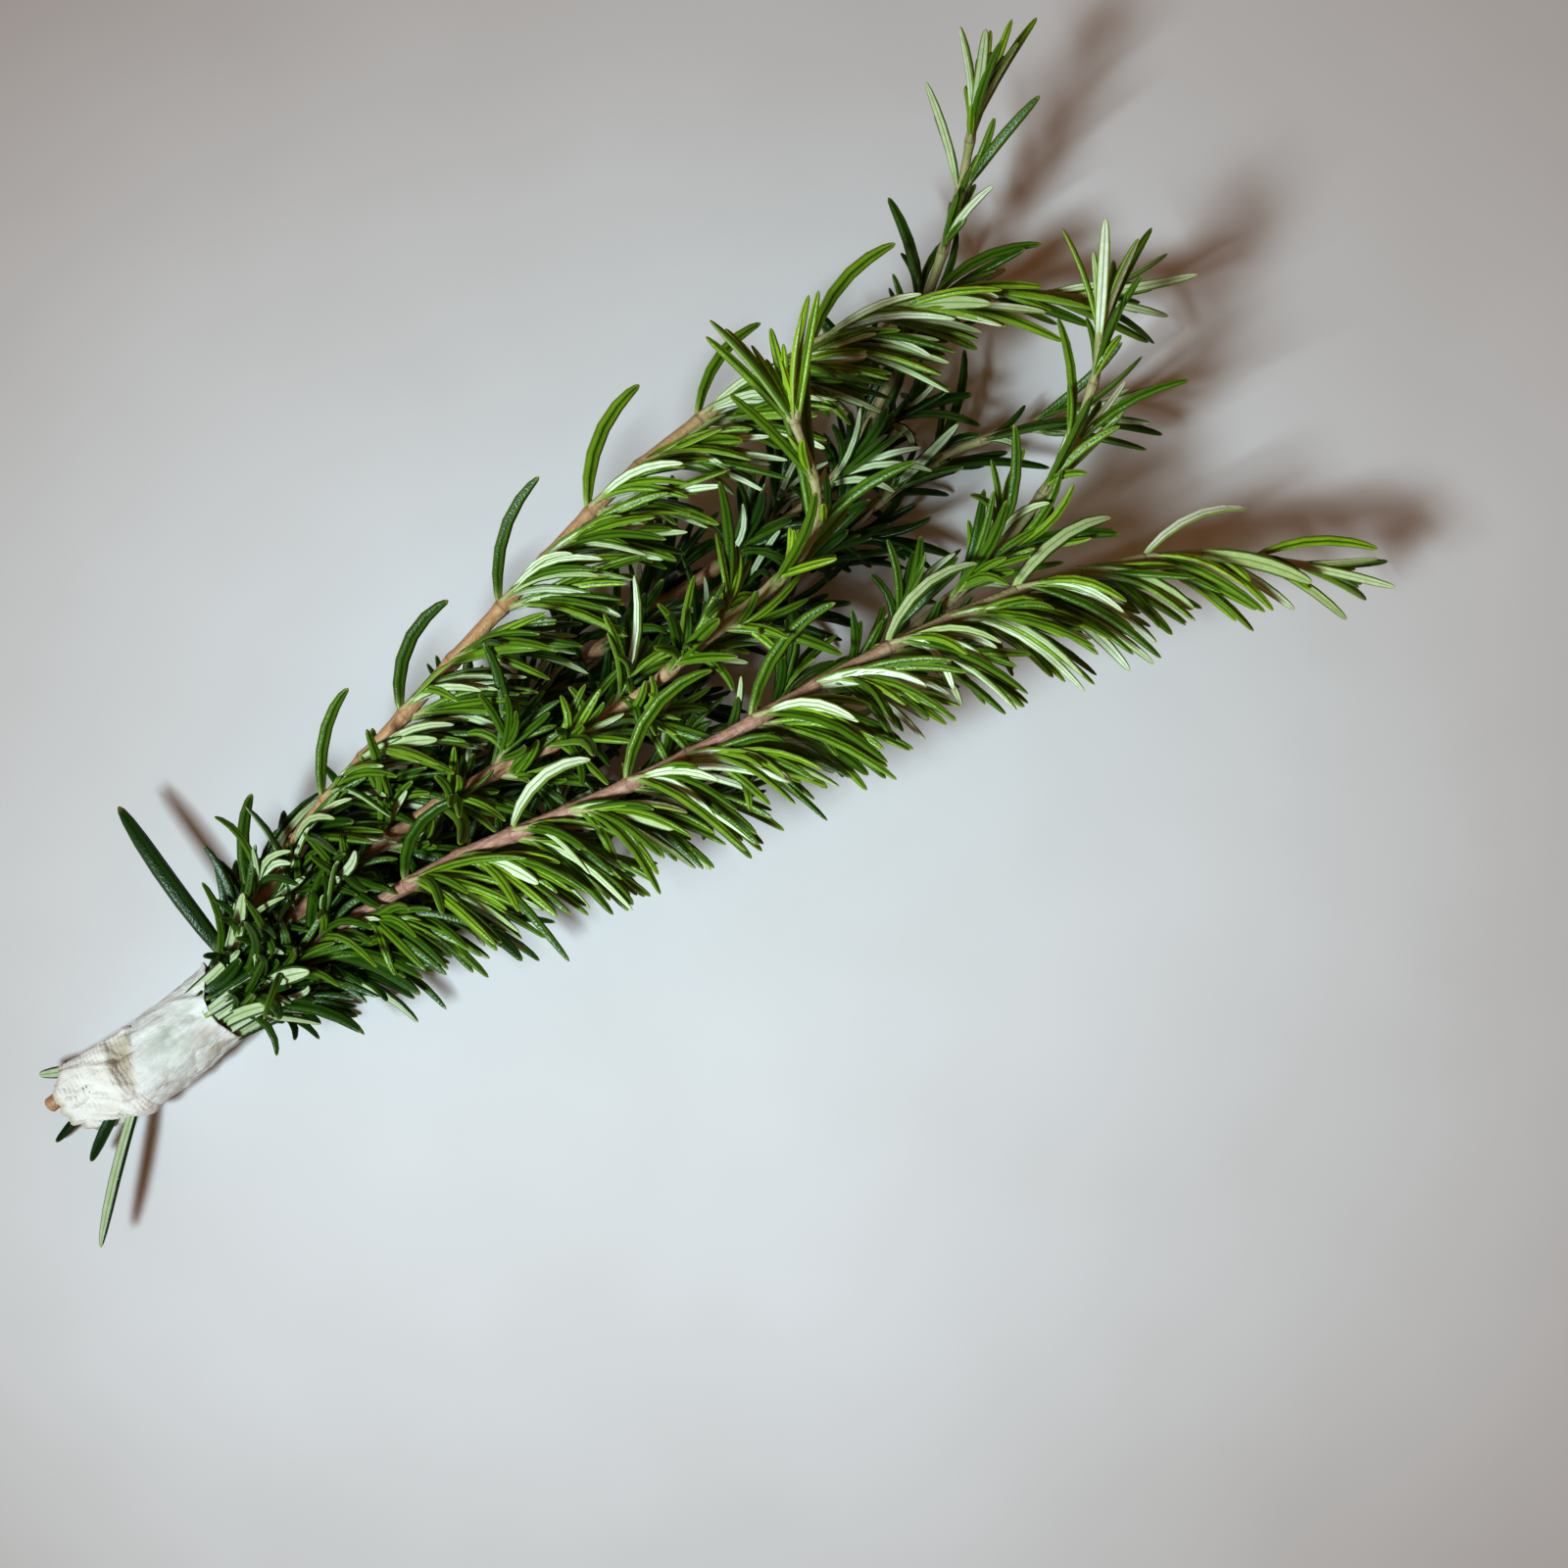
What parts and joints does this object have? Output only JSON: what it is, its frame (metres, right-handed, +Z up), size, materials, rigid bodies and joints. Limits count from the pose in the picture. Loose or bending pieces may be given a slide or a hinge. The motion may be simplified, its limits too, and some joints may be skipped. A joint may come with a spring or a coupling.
{
  "type": "bunch of rosemary sprigs",
  "caption": "Bunch of fresh-cut rosemary sprigs lying on their side, cut ends held in a torn band of tissue paper.",
  "frame": {"origin": "on the surface that the bunch lies on, under the middle of its bounding box", "axes": "+Z up, +X along the bunch from the wrapped cut ends to the growing tips"},
  "size_m": [0.282, 0.1284, 0.0736],
  "materials": {
    "rosemary_leaf": "satin",
    "rosemary_stem": "matte",
    "tissue_paper": "matte"
  },
  "bodies": {
    "root": {"sprig_low_right": "rosemary_leaf", "sprig_low_left": "rosemary_leaf", "sprig_under_right": "rosemary_leaf", "sprig_outer_left": "rosemary_leaf", "sprig_over_right": "rosemary_leaf", "sprig_top": "rosemary_leaf", "paper_wrap": "tissue_paper"}
  },
  "joints": []
}
